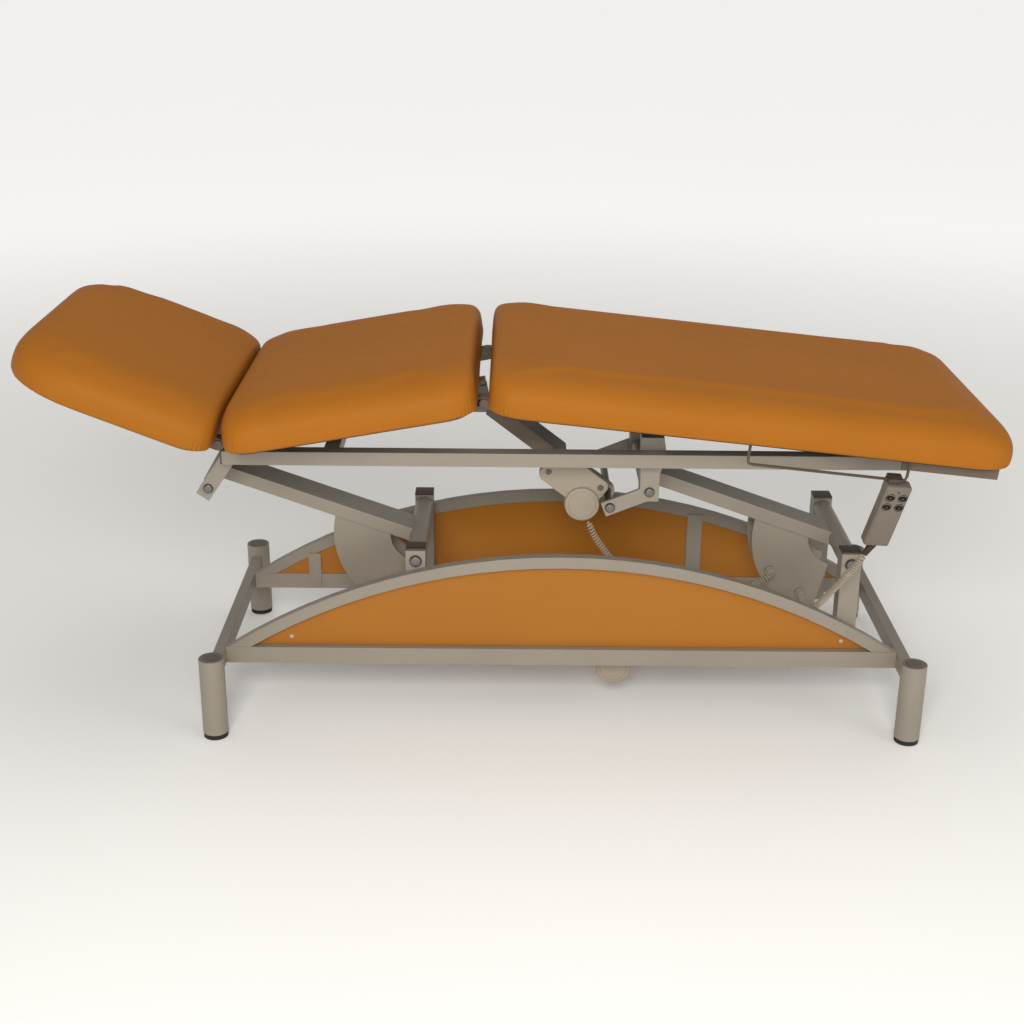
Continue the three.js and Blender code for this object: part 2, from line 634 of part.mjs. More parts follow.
function addMidSection() {
  const frame = sectionFrame(MID_HINGE_X, HINGE_Z, MID.tilt);
  const { half, outerY, holeRadius, pinRadius } = SECTION_TUBE;
  const { length } = MID;
  const add = [crossTube(44, 69), crossTube(440, 466)];
  const cut = [];
  for (const side of [NEAR, FAR]) {
    add.push(sideTube(side, 0, length - 2 * half - HINGE_PLAY - 2));
    add.push(plate(slotShape(430, length, 0, half), ...across(side, 163.5, 169.6)));
    add.push(bar(pinRadius, length, 0, ...across(side, 165, outerY + 2)));
    add.push(bar(half - 3, length, 0, ...across(side, outerY + 0.5, outerY + 4.5)));
    const [lugEnd, lugBottom] = [DRAIN_EYE.along + 12, -DRAIN_EYE.below - 12];
    const lug = [
      [442, 0],
      [442, lugBottom],
      [lugEnd, lugBottom],
      [lugEnd, 0],
    ];
    add.push(plate(lug, ...across(side, 11, 16)).translate(0, DRAIN_Y, 0));
    cut.push(bar(holeRadius, 0, 0, ...across(side, 150, 210)));
  }
  const shelf = box(441, DRAIN_EYE.along + 11, DRAIN_Y - 16, DRAIN_Y + 16, 2, 11);
  place(frame, "middle_section_frame", shaped([...add, shelf], cut), darkSteel);
  const cushion = cushionBlock(CUSHION.endGap, length - CUSHION.endGap, [HEAD_CUSHION_SLANT, 0]);
  place(frame, "middle_cushion", cushion, vinyl);
}

function addLongSection() {
  const frame = sectionFrame(MIDDLE_HINGE.x, MIDDLE_HINGE.z, -LONG.tilt);
  const add = [crossTube(60, 85), crossTube(470, 495), crossTube(815, 840)];
  const cut = [];
  const slopedEnd = [
    [-1, 12.6],
    [-30, 3],
    [-30, 30],
    [-1, 30],
  ];
  for (const side of [NEAR, FAR]) {
    add.push(sideTube(side, -HINGE_PLAY, GLIDE_DISTANCE));
    add.push(box(800, 985, ...across(side, 294, 300), -8, 13));
    cut.push(plate(slotShape(-HINGE_PLAY, 0, 0, SECTION_TUBE.holeRadius + 1.1), ...across(side, 150, 210)));
    cut.push(plate(slopedEnd, ...across(side, 150, 210)));
  }
  add.push(box(800, 840, -300, 300, 9, 13));
  add.push(box(979, 985, -300, 300, -8, 13));
  place(frame, "long_section_frame", shaped(add, cut), darkSteel);
  const cushion = cushionBlock(CUSHION.endGap, LONG.end, [0, 0]);
  place(frame, "long_cushion", cushion, vinyl);
  addHandsetRail(frame);
}

const HANDSET_RAIL = { y: -310.5, from: 505, to: 810, drop: 26, radius: 3, bend: 7 };

// A bent wire that hangs from the board of the long section.
function addHandsetRail(frame) {
  const { y, from, to, drop, radius, bend } = HANDSET_RAIL;
  const path = new THREE.CurvePath();
  const at = (x, z) => new THREE.Vector3(x, y, z);
  const top = CUSHION.bottom - GAP - 0.1;
  path.add(new THREE.LineCurve3(at(from, top), at(from, bend - drop)));
  path.add(new THREE.QuadraticBezierCurve3(at(from, bend - drop), at(from, -drop), at(from + bend, -drop)));
  path.add(new THREE.LineCurve3(at(from + bend, -drop), at(to - bend, -drop)));
  path.add(new THREE.QuadraticBezierCurve3(at(to - bend, -drop), at(to, -drop), at(to, bend - drop)));
  path.add(new THREE.LineCurve3(at(to, bend - drop), at(to, top)));
  const section = new THREE.Shape();
  section.absarc(0, 0, radius, 0, 2 * Math.PI);
  const wire = new THREE.ExtrudeGeometry(section, { steps: 40, extrudePath: path, curveSegments: 4 });
  place(frame, "handset_rail", wire, darkSteel);
}

function addHeadSection() {
  const frame = sectionFrame(HEAD_HINGE_X, HINGE_Z, -HEAD.tilt);
  const lean = radians(GAS.leverLean);
  const [pinX, pinZ] = [GAS.leverLength * Math.sin(lean), -GAS.leverLength * Math.cos(lean)];
  const add = [crossTube(-66, -42), crossTube(-335, -310)];
  const cut = [];
  for (const side of [NEAR, FAR]) {
    add.push(sideTube(side, -335, 0));
    const lever = [
      [-60, 8],
      [-60, -11],
      [pinX - 10, pinZ - 6],
      [pinX + 8, pinZ - 8],
      [pinX + 10, pinZ + 8],
      [-43, 8],
    ];
    add.push(plate(lever, ...across(side, 8.5, 13)));
    cut.push(bar(SECTION_TUBE.holeRadius, 0, 0, ...across(side, 150, 210)));
  }
  place(frame, "head_section_frame", shaped(add, cut), darkSteel);
  const cushion = cushionBlock(-HEAD.end, -CUSHION.endGap, [0, HEAD_CUSHION_SLANT]);
  place(frame, "head_cushion", cushion, vinyl);
}

// ---- Handset ----
// The handset hangs by its hook: the middle of the wire inside the hook is the origin of its frame.
function addHandset() {
  const long = sectionFrame(MIDDLE_HINGE.x, MIDDLE_HINGE.z, -LONG.tilt);
  long.updateMatrix();
  const hangsAt = new THREE.Vector3(HANDSET.along, HANDSET_RAIL.y, -HANDSET_RAIL.drop);
  hangsAt.applyMatrix4(long.matrix);
  const frame = new THREE.Group();
  frame.position.copy(hangsAt);
  const { pitch, roll, yaw } = HANDSET_TURN;
  frame.rotation.set(radians(pitch), radians(roll), radians(yaw), "ZXY");
  couch.add(frame);
  const { width, length, depth, below, behind } = HANDSET;
  const back = depth / 2 - behind;
  const face = back - depth;
  const outline = roundedRectangle(width / 2, length / 2, 9);
  const shell = plate(outline, face, back).translate(0, 0, -below - length / 2);
  const oval = (grow) => {
    const shape = new THREE.Shape();
    shape.absellipse(0, 0, BUTTON.halfWidth + grow, BUTTON.halfHeight + grow, 0, 2 * Math.PI);
    return shape;
  };
  const pockets = [];
  let count = 0;
  for (const row of BUTTON.rows) {
    for (const column of [-BUTTON.columns, BUTTON.columns]) {
      count += 1;
      pockets.push(plate(oval(0.4), face - 1, face + BUTTON.sunk + 1.9, 6).translate(column, 0, row));
      const cap = plate(oval(0), face - BUTTON.proud, face + BUTTON.sunk, 6).translate(column, 0, row);
      place(frame, `handset_button_${count}`, cap, buttonCap);
    }
  }
  const crown = below + 2.6;
  const hook = [
    box(-25, 3, back - 2.6, back, -26, crown),
    box(-25, 3, -8.8, back, below + 0.2, crown),
    box(-25, 3, -8.8, -6.4, -2, crown),
  ];
  place(frame, "handset", shaped([shell, ...hook], pockets), handsetShell);
}

// ---- Cords ----
// A curly cord is one tube of its outer diameter along the line that the curls follow.
function cordTube(points) {
  const curve = new THREE.CatmullRomCurve3(points.map((p) => new THREE.Vector3(...p)), false, "centripetal");
  const section = new THREE.Shape();
  section.absarc(0, 0, CORD_RADIUS, 0, 2 * Math.PI);
  return new THREE.ExtrudeGeometry(section, { steps: 22, extrudePath: curve, curveSegments: 4 });
}

const MOTOR_CORD = [
  [52, -131, 406],
  [58, -137, 392],
  [72, -139, 366],
  [94, -138, 335],
  [124, -133, 303],
  [162, -124, 274],
  [208, -112, 252],
  [262, -99, 239],
  [322, -88, 236],
  [372, -82, 240],
  [412, -77, 249],
  [438, -68, 259],
  [446, -58, 262],
  [446, -45.5, 262],
];

const HANDSET_CORD = [
  [589.6, -257.9, 391.3],
  [584, -256.5, 380],
  [576, -250, 363],
  [566, -240, 342],
  [555, -226, 316],
  [541, -205, 284],
  [529, -181, 252],
  [521, -152, 228],
  [516, -118, 212],
  [514, -84, 207],
  [514, -60, 211],
  [514, -45.5, 212],
];

const STRAIN_RELIEF = { root: [603.5, -261, 416], tip: [590, -258, 392], rootRadius: 8.5, tipRadius: 6.5 };

function addCords() {
  place(couch, "motor_cord", cordTube(MOTOR_CORD), cordSheath);
  place(couch, "handset_cord", cordTube(HANDSET_CORD), cordSheath);
  const tip = new THREE.Vector3(...STRAIN_RELIEF.tip);
  const along = new THREE.Vector3(...STRAIN_RELIEF.root).sub(tip);
  const length = along.length();
  const cone = new THREE.CylinderGeometry(STRAIN_RELIEF.rootRadius, STRAIN_RELIEF.tipRadius, length, 12);
  const turn = new THREE.Quaternion().setFromUnitVectors(new THREE.Vector3(0, 1, 0), along.normalize());
  cone.translate(0, length / 2, 0).applyQuaternion(turn).translate(tip.x, tip.y, tip.z);
  place(couch, "handset_strain_relief", cone, rubber);
}

addLegs();
addEndRails();
addSideRails();
addArches();
addLiftBracket();
addArm("left", PIVOT.leftX, UPPER_LEFT_X);
addArm("right", PIVOT.rightX, UPPER_RIGHT_X);
addGuards("left", PIVOT.leftX, true);
addGuards("right", PIVOT.rightX, false);
addControlBox();
addTopRails();
addLeftLugs();
addRightLugs();
addHingePlates();
addLiftActuator();
addDrainageActuator();
addGasSpring();
addMidSection();
addLongSection();
addHeadSection();
addHandset();
addCords();

export default couch;
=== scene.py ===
"""An examination couch: a three-section upholstered top on a powder-coated lifting frame.

Meshes are in metres in the row frame: +Z is up, +X runs from the head end to the foot end, and -Y is the
near side. Numbers are millimetres unless a comment says otherwise, and go through P(), block() or a section's
own frame.
"""

import math

import bmesh
import bpy
import numpy as np
from mathutils import Matrix, Vector


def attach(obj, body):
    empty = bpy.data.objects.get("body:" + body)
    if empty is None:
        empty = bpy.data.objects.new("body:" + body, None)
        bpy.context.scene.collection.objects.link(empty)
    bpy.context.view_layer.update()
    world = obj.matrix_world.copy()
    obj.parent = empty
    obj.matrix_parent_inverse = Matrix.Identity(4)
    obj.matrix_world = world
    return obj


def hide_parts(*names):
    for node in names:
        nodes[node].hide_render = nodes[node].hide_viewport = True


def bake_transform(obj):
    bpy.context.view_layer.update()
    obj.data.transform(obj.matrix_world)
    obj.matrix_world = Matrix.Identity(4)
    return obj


MM = 0.001
SHIFT_X = 100  # from the middle of the leg base to the origin of the row frame

# Hinge lines of the three sections, X from the middle of the leg base, and how far each is tilted in degrees.
MIDDLE = {"x": -655, "z": 587, "tilt": 10.2}
LONG = {"x": -159.95, "z": 676.07, "tilt": -6}
HEAD = {"x": -682, "z": 587, "tilt": -21.3}

# Heights are above a section's tubes. rounding is how far in from the outline the flat of the top begins.
CUSHION = {"half_y": 338, "board": 13.4, "bottom": 15, "shoulder": 36, "top": 103, "rounding": 120}
SQUARENESS = 2.7  # power of the superellipse from the shoulder of a cushion to the flat of its top
CORNER_POWER = 2.4  # power of the superellipse that rounds the corners of a cushion, seen from above
CORNER_GROWTH = 0.4  # how much rounder the corners get, for each mm that the skin stands in
SWELL = {"up": 5, "sideways": 2.5, "from_edge": 110}  # the most that the padding swells, and how far in
# The skin is simulated as cloth. The lowest part of it, stapled high, is held still.
CLOTH = {"voxel": 10, "pressure": 4, "quality": 4, "frames": 20, "stapled": 5}
PLEAT = {"height": 30, "depth": 3.6, "spacing": 10, "corner": 70}  # shallower where a corner's radius is more
BOARD_INSET = {"edge": 18, "corner": 14}

CORD = {"radius": 1.5, "coil": 5.75, "pitch": 6.0, "steps": 16, "lead": 7}
LEG = {"x": 702, "y": 300, "top": 173.5}
POST = {"x": (-299, 586), "half_width": 20.5, "inner_y": 140, "outer_y": 179.7, "cap": (358, 363)}
TOP_RAIL = {"y": (163.6, 194.4), "z": (545.6, 572.4), "left": (-680, -672), "right": (745, 753)}
PANEL_SCREWS = {"x": (-557, 578), "y": 184.5, "z": 167, "radius": 2.6}
PANEL_STRAPS = {"y": (176.8, 181.4), "boxes": ((-567, -539, 118, 200), (292, 326, 150, 303))}  # x, x, z, z
WELD = {"y": 180.3, "z": 149.5, "radius": 1.9, "step": 1.2}
DRAIN_DRIVE = {"start": (93, 449), "end": (-165, 648), "y": -55}
LIFT_DRIVE = {"start": (165, 118), "end": (-327.1, 214.2), "y": 0}

EDGE_ANGLE = math.radians(32)  # an edge that turns more than this is sharp and gets a bevel
WELD_DISTANCE = 0.02
# The camera stands in metres and turns in degrees.
CAMERA = {"at": (-0.004, -3.051, 1.563), "pitch": 21.28, "roll": 0.49, "lens": 54.05, "sensor": 36}
FLOOR_HALF = 90  # metres
GLOW = {"from": 1.2, "to": 6.0, "near": 0.06, "far": 0.5}  # metres from the floor's middle, and strengths
SKY = {"colour": (1, 0.985, 0.955, 1), "strength": 0.42}
LAMPS = (  # name, place and aim in metres, size in metres, watts, colour
    ("key", (-0.3, -4.2, 2.6), (0, 0, 0.4), 1.8, 148, (1, 0.97, 0.94)),
    ("fill", (3.4, -2.6, 1.6), (0.2, 0, 0.4), 2.0, 22, (1, 0.97, 0.93)),
    ("top", (0.6, 0.3, 3.6), (0.3, 0, 0.5), 3.0, 22, (1, 0.98, 0.95)),
)

bpy.ops.wm.read_factory_settings(use_empty=True)
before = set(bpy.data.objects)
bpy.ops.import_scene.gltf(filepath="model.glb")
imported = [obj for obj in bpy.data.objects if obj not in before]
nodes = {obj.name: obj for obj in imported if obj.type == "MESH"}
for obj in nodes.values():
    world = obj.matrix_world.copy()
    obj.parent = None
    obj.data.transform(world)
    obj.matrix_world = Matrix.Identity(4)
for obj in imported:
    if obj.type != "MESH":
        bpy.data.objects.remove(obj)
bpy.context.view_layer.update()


# ---- Places ----
def P(x, y, z):
    """A point given in mm from the middle of the leg base, in metres in the row frame."""
    return Vector(((x + SHIFT_X) * MM, y * MM, z * MM))


def section_matrix(section):
    """A section's own frame: X along it, Z up from its tubes, the hinge line at the origin, in metres."""
    turn = Matrix.Rotation(math.radians(-section["tilt"]), 4, "Y")
    return Matrix.Translation(P(section["x"], 0, section["z"])) @ turn


def drive_matrix(drive):
    """The frame of a linear drive, X from its rear pin towards its rod end and Z on its lower side."""
    (x0, z0), (x1, z1) = drive["start"], drive["end"]
    angle = math.atan2(z1 - z0, x1 - x0)
    return Matrix.Translation(P(x0, drive["y"], z0)) @ Matrix.Rotation(-angle, 4, "Y")


def near_far(y):
    return "near" if y < 0 else "far"


def left_right(x):
    return "left" if x < 0 else "right"


# ---- Materials ----
def linear(rgb):
    """A display colour, 0 to 255, as linear light."""
    return tuple(((c / 255 + 0.055) / 1.055) ** 2.4 if c > 10 else c / 255 / 12.92 for c in rgb)


def material(
    name,
    rgb,
    rough,
    metallic=0.0,
    variation=0.05,
    cloud=6.0,
    grain=1400.0,
    bump=0.04,
    stretch=(1, 1, 1),
    wrinkle=0.0,
    cells=False,
    shine=0.5,
    speckle=0.0,
):
    """A procedural surface. Colour drifts over large clouds, roughness over small ones, and a fine grain in
    millimetres of height, with optional leather cells and soft wrinkles, shapes the surface."""
    made = bpy.data.materials.new(name)
    made.use_nodes = True
    tree = made.node_tree
    tree.nodes.clear()
    link = tree.links.new

    def node(kind, **values):
        found = tree.nodes.new(kind)
        for key, value in values.items():
            setattr(found, key, value)
        return found

    out = node("ShaderNodeOutputMaterial")
    shader = node("ShaderNodeBsdfPrincipled")
    link(shader.outputs["BSDF"], out.inputs["Surface"])
    place = node("ShaderNodeTexCoord").outputs["Object"]
    mapping = node("ShaderNodeMapping")
    mapping.inputs["Scale"].default_value = stretch
    link(place, mapping.inputs["Vector"])

    def noise(scale, detail, vector):
        found = node("ShaderNodeTexNoise")
        found.inputs["Scale"].default_value = scale
        found.inputs["Detail"].default_value = detail
        link(vector, found.inputs["Vector"])
        return found.outputs["Fac"]

    base = linear(rgb)
    ramp = node("ShaderNodeValToRGB")
    ramp.color_ramp.elements[0].position = 0.3
    ramp.color_ramp.elements[1].position = 0.7
    ramp.color_ramp.elements[0].color = (*[c * (1 - variation) for c in base], 1)
    ramp.color_ramp.elements[1].color = (*[min(1, c * (1 + variation)) for c in base], 1)
    link(noise(cloud, 4, mapping.outputs["Vector"]), ramp.inputs["Fac"])
    colour = ramp.outputs["Color"]
    if speckle:
        spots = node("ShaderNodeMix", data_type="RGBA", blend_type="MULTIPLY")
        spots.inputs[0].default_value = speckle
        link(colour, spots.inputs[6])
        link(noise(700, 2, place), spots.inputs[7])
        colour = spots.outputs[2]
    link(colour, shader.inputs["Base Color"])

    spread = node("ShaderNodeMapRange")
    spread.inputs["To Min"].default_value = rough - 0.06
    spread.inputs["To Max"].default_value = rough + 0.08
    link(noise(38, 3, mapping.outputs["Vector"]), spread.inputs["Value"])
    link(spread.outputs["Result"], shader.inputs["Roughness"])
    shader.inputs["Metallic"].default_value = metallic
    shader.inputs["Specular IOR Level"].default_value = shine

    height = node("ShaderNodeBump")
    height.inputs["Distance"].default_value = bump * MM
    link(noise(grain, 2, mapping.outputs["Vector"]), height.inputs["Height"])
    normal = height.outputs["Normal"]
    if cells:
        voronoi = node("ShaderNodeTexVoronoi")
        voronoi.inputs["Scale"].default_value = 620
        link(place, voronoi.inputs["Vector"])
        leather = node("ShaderNodeBump")
        leather.inputs["Distance"].default_value = 0.12 * MM
        link(voronoi.outputs["Distance"], leather.inputs["Height"])
        link(normal, leather.inputs["Normal"])
        normal = leather.outputs["Normal"]
    if wrinkle:
        soft = node("ShaderNodeBump")
        soft.inputs["Distance"].default_value = wrinkle * MM
        link(noise(9, 3, place), soft.inputs["Height"])
        link(normal, soft.inputs["Normal"])
        normal = soft.outputs["Normal"]
    link(normal, shader.inputs["Normal"])
    return made


LOOKS = {
    "frame_paint": material("powder_coat", (138, 130, 117), 0.42, grain=900, bump=0.05, variation=0.05),
    "panel_laminate": material(
        "ochre_laminate", (160, 101, 26), 0.42, shine=0.3, grain=800, bump=0.04, variation=0.03, cloud=3
    ),
    "black_rubber": material("rubber", (26, 24, 22), 0.75, bump=0.08, variation=0.2),
    "zinc_steel": material("zinc", (112, 110, 108), 0.36, metallic=0.85, stretch=(1, 18, 1), bump=0.02),
    # The parts in the dark_paint slot are beige frame paint; this darker brown is painted shade and painted
    # warm bounce from the pads, for the deep shade under the cushions.
    "dark_paint": material("frame_paint_in_painted_shade", (92, 78, 64), 0.45, grain=900, bump=0.05, variation=0.12),
    "upholstery": material(
        "vinyl",
        (158, 97, 28),
        0.5,
        grain=1700,
        bump=0.05,
        cells=True,
        wrinkle=0.5,
        variation=0.03,
        cloud=4,
        shine=0.07,
    ),
    "motor_plastic": material("motor_shell", (150, 139, 122), 0.5, grain=1200, bump=0.06, speckle=0.08),
    "dark_plastic": material("box_shell", (38, 33, 29), 0.5, grain=1200, bump=0.06, variation=0.15),
    "handset_plastic": material("handset_shell", (112, 102, 91), 0.48, grain=1500, bump=0.05),
    "button_plastic": material(
        "button_cap", (15, 12, 10), 0.6, grain=1500, bump=0.03, variation=0.2, shine=0.2
    ),
    "cord_sheath": material("cord_skin", (158, 146, 128), 0.5, grain=2000, bump=0.03),
}
CAP_GREY = material("cap_plastic", (92, 86, 78), 0.5, grain=1200, bump=0.05, variation=0.1)
CAP_DARK = material("dark_cap", (70, 58, 47), 0.5, grain=1200, bump=0.05, variation=0.15)
# The board under each pad is coloured near-black as painted shade: the dark strip under the pads' overhanging
# edges.
BOARD = material("board_in_painted_shade", (34, 27, 21), 0.85, grain=1500, bump=0.2, variation=0.2)
COLLAR = material("button_collar", (30, 25, 21), 0.6, grain=1200, bump=0.04, variation=0.1, shine=0.2)
BOOT = material("boot_rubber", (66, 54, 42), 0.6, grain=1200, bump=0.06, variation=0.15, shine=0.3)
MARK = material("button_mark", (126, 120, 108), 0.5, grain=1500, bump=0.02)
SCREW = material("screw_zinc", (205, 200, 190), 0.3, metallic=0.9, stretch=(18, 1, 1), bump=0.02)
LED = material("lamp_lens", (60, 66, 44), 0.2, bump=0.01)
FLOOR = material("studio_floor", (244, 243, 241), 0.7, grain=300, bump=0.02, variation=0.008, cloud=1)


# ---- Shapes ----
def piece(name, mesh, look, body, angle=38):
    """A visible piece in one look. It rides on body, or on nothing if body is None."""
    made = bpy.data.objects.new(name, mesh)
    bpy.context.scene.collection.objects.link(made)
    mesh.materials.clear()
    mesh.materials.append(look)
    mesh.polygons.foreach_set("use_smooth", [True] * len(mesh.polygons))
    mesh.set_sharp_from_angle(angle=math.radians(angle))
    if body:
        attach(made, body)
    return made


def mesh_of(vertices, faces, name="mesh"):
    mesh = bpy.data.meshes.new(name)
    mesh.from_pydata([tuple(v) for v in vertices], [], faces)
    mesh.update()
    return mesh


def joined(meshes):
    """One mesh that holds all of them."""
    work = bmesh.new()
    for mesh in meshes:
        work.from_mesh(mesh)
    bmesh.ops.recalc_face_normals(work, faces=work.faces)
    mesh = bpy.data.meshes.new("joined")
    work.to_mesh(mesh)
    work.free()
    return mesh


def lathe(profile, matrix=Matrix(), sides=40):
    """A body of revolution about Z. profile is (radius, height) pairs, from axis to axis or a closed loop."""
    rings = []
    vertices = []
    for radius, height in profile:
        if radius == 0:
            rings.append([len(vertices)] * sides)
            vertices.append(matrix @ Vector((0, 0, height * MM)))
            continue
        rings.append(list(range(len(vertices), len(vertices) + sides)))
        for i in range(sides):
            a = 2 * math.pi * i / sides
            place = Vector((radius * MM * math.cos(a), radius * MM * math.sin(a), height * MM))
            vertices.append(matrix @ place)
    faces = []
    for low, high in zip(rings, rings[1:]):
        for i in range(sides):
            j = (i + 1) % sides
            corner = list(dict.fromkeys([low[i], low[j], high[j], high[i]]))
            if len(corner) > 2:
                faces.append(corner)
    return mesh_of(vertices, faces)


def block(low, high, round_by, matrix=Matrix(), segments=3):
    """A box between two corners, with all its edges rounded."""
    work = bmesh.new()
    bmesh.ops.create_cube(work, size=1)
    size = [(b - a) * MM for a, b in zip(low, high)]
    middle = [(a + b) / 2 * MM for a, b in zip(low, high)]
    bmesh.ops.scale(work, vec=size, verts=work.verts)
    bmesh.ops.translate(work, vec=middle, verts=work.verts)
    bmesh.ops.bevel(
        work, geom=list(work.edges), offset=round_by * MM, segments=segments, profile=0.5, affect="EDGES"
    )
    bmesh.ops.transform(work, matrix=matrix, verts=work.verts)
    mesh = bpy.data.meshes.new("block")
    work.to_mesh(mesh)
    work.free()
    return mesh


def carried_frames(points, hint):
    """Each point and two directions across the line there, carried along it so that they don't twist."""
    tangents = np.gradient(points, axis=0)
    tangents /= np.linalg.norm(tangents, axis=1)[:, None]
    side = np.cross(tangents[0], hint)
    for point, tangent in zip(points, tangents):
        side = side - tangent * np.dot(side, tangent)
        side /= np.linalg.norm(side)
        yield point, side, np.cross(tangent, side)


def tube(points, radii, sides):
    """A closed round tube along points, in metres, with a radius at each of them."""
    vertices = []
    turns = [2 * math.pi * i / sides for i in range(sides)]
    for radius, (point, side, up) in zip(radii, carried_frames(points, [0.3, 0.2, 0.93])):
        vertices += [point + radius * (math.cos(a) * side + math.sin(a) * up) for a in turns]
    faces = []
    for k in range(len(points) - 1):
        for i in range(sides):
            j = (i + 1) % sides
            faces.append((k * sides + i, k * sides + j, (k + 1) * sides + j, (k + 1) * sides + i))
    faces.append(tuple(reversed(range(sides))))
    faces.append(tuple(range((len(points) - 1) * sides, len(points) * sides)))
    return mesh_of(vertices, faces)


def smooth_path(points, step):
    """A Catmull-Rom line through points, in metres, resampled every step metres."""
    points = [Vector(p) for p in points]
    points = [2 * points[0] - points[1], *points, 2 * points[-1] - points[-2]]
    dense = []
    for a, b, c, d in zip(points, points[1:], points[2:], points[3:]):
        for i in range(24):
            t = i / 24
            square = 2 * a - 5 * b + 4 * c - d
            cube = 3 * b - a - 3 * c + d
            dense.append(0.5 * (2 * b + (c - a) * t + square * t**2 + cube * t**3))
    dense.append(points[-2])
    dense = np.array([list(p) for p in dense])
    along = np.concatenate([[0], np.cumsum(np.linalg.norm(np.diff(dense, axis=0), axis=1))])
    count = max(2, round(along[-1] / step))
    wanted = np.linspace(0, along[-1], count + 1)
    return np.stack([np.interp(wanted, along, dense[:, k]) for k in range(3)], axis=1)


def disc_matrix(centre, outwards):
    """A frame at centre with its Z axis pointing outwards."""
    return Matrix.Translation(centre) @ Vector(outwards).to_track_quat("Z", "Y").to_matrix().to_4x4()


# ---- Metalwork and mouldings that come from the frame ----
def edge_rule():
    """Geometry nodes that weld a mesh and mark its edges over EDGE_ANGLE as sharp."""
    group = bpy.data.node_groups.new("sharp_edges", "GeometryNodeTree")
    group.interface.new_socket(name="Geometry", in_out="INPUT", socket_type="NodeSocketGeometry")
    group.interface.new_socket(name="Geometry", in_out="OUTPUT", socket_type="NodeSocketGeometry")
    start = group.nodes.new("NodeGroupInput")
    end = group.nodes.new("NodeGroupOutput")
    weld = group.nodes.new("GeometryNodeMergeByDistance")
    weld.inputs["Distance"].default_value = WELD_DISTANCE * MM
    angle = group.nodes.new("GeometryNodeInputMeshEdgeAngle")
    over = group.nodes.new("FunctionNodeCompare")
    over.data_type = "FLOAT"
    over.operation = "GREATER_THAN"
    over.inputs[1].default_value = EDGE_ANGLE
    smooth = group.nodes.new("GeometryNodeSetShadeSmooth")
    smooth.domain = "EDGE"
    smooth.inputs["Shade Smooth"].default_value = False
    join = group.links.new
    join(start.outputs[0], weld.inputs["Geometry"])
    join(angle.outputs["Unsigned Angle"], over.inputs[0])
    join(weld.outputs["Geometry"], smooth.inputs["Geometry"])
    join(over.outputs["Result"], smooth.inputs["Selection"])
    join(smooth.outputs["Geometry"], end.inputs[0])
    return group


BEVELS = {
    "panel_laminate": 0.6,
    "zinc_steel": 0.8,
    "motor_plastic": 2.5,
    "dark_plastic": 2.5,
    "black_rubber": 1.2,
    "button_plastic": 0.5,
    "dark_paint": 1.2,
}
BEVEL_OF_FRAME = 1.6
BEVEL_OF_GUARD = 1.0


def dress_frame():
    """Gives each node its look, and eases its edges with modifiers so that its own vertices stay put."""
    rule = edge_rule()
    slots = {name: node.data.materials[0].name for name, node in nodes.items()}
    for name, node in nodes.items():
        slot = slots[name]
        node.data.materials.clear()
        node.data.materials.append(LOOKS[slot])
        node.data.polygons.foreach_set("use_smooth", [True] * len(node.data.polygons))
        node.modifiers.new("sharp", "NODES").node_group = rule
        dissolve = node.modifiers.new("flat", "DECIMATE")
        dissolve.decimate_type = "DISSOLVE"
        dissolve.angle_limit = math.radians(0.4)
        dissolve.delimit = {"SHARP"}
        width = BEVELS.get(slot, BEVEL_OF_FRAME)
        if name.startswith("arm_guard"):
            width = BEVEL_OF_GUARD
        bevel = node.modifiers.new("edges", "BEVEL")
        bevel.width = width * MM
        bevel.segments = 3
        bevel.limit_method = "ANGLE"
        bevel.angle_limit = EDGE_ANGLE
        bevel.harden_normals = True


dress_frame()


# ---- Cushions ----
def rounded_ring(left, right, half_y, corners, steps, n):
    """A rounded rectangle at height n, as points that run round it once. corners are its ends' radii."""
    ring = []
    at_left, at_right = corners
    quarters = (
        (right - at_right, half_y - at_right, at_right, 0),
        (left + at_left, half_y - at_left, at_left, 90),
        (left + at_left, at_left - half_y, at_left, 180),
        (right - at_right, at_right - half_y, at_right, 270),
    )
    for cx, cy, radius, start in quarters:
        for i in range(steps + 1):
            a = math.radians(start + 90 * i / steps)
            across = math.copysign(abs(math.cos(a)) ** (2 / CORNER_POWER), math.cos(a))
            along = math.copysign(abs(math.sin(a)) ** (2 / CORNER_POWER), math.sin(a))
            ring.append((cx + radius * across, cy + radius * along, n))
    return ring


def ring_shell(rings):
    """A closed mesh, in metres, through rings of equal length, capped below and above."""
    count = len(rings[0])
    vertices = [Vector(p) * MM for ring in rings for p in ring]
    faces = [tuple(reversed(range(count))), tuple(range((len(rings) - 1) * count, len(rings) * count))]
    for k in range(len(rings) - 1):
        for i in range(count):
            j = (i + 1) % count
            faces.append((k * count + i, k * count + j, (k + 1) * count + j, (k + 1) * count + i))
    return mesh_of(vertices, faces)


def cushion_profile():
    """Pairs of a height and how far the skin stands in from the outline there."""
    bottom, shoulder = CUSHION["bottom"], CUSHION["shoulder"]
    rise = CUSHION["top"] - SWELL["up"] - shoulder
    profile = [(bottom, 7), (bottom + 4, 3), (bottom + 10, 0.8), (shoulder, 0)]
    for i in range(1, 16):
        turn = math.radians(6 * i)
        up = rise * math.sin(turn) ** (2 / SQUARENESS)
        inwards = CUSHION["rounding"] * (1 - math.cos(turn) ** (2 / SQUARENESS))
        profile.append((shoulder + up, inwards))
    return profile


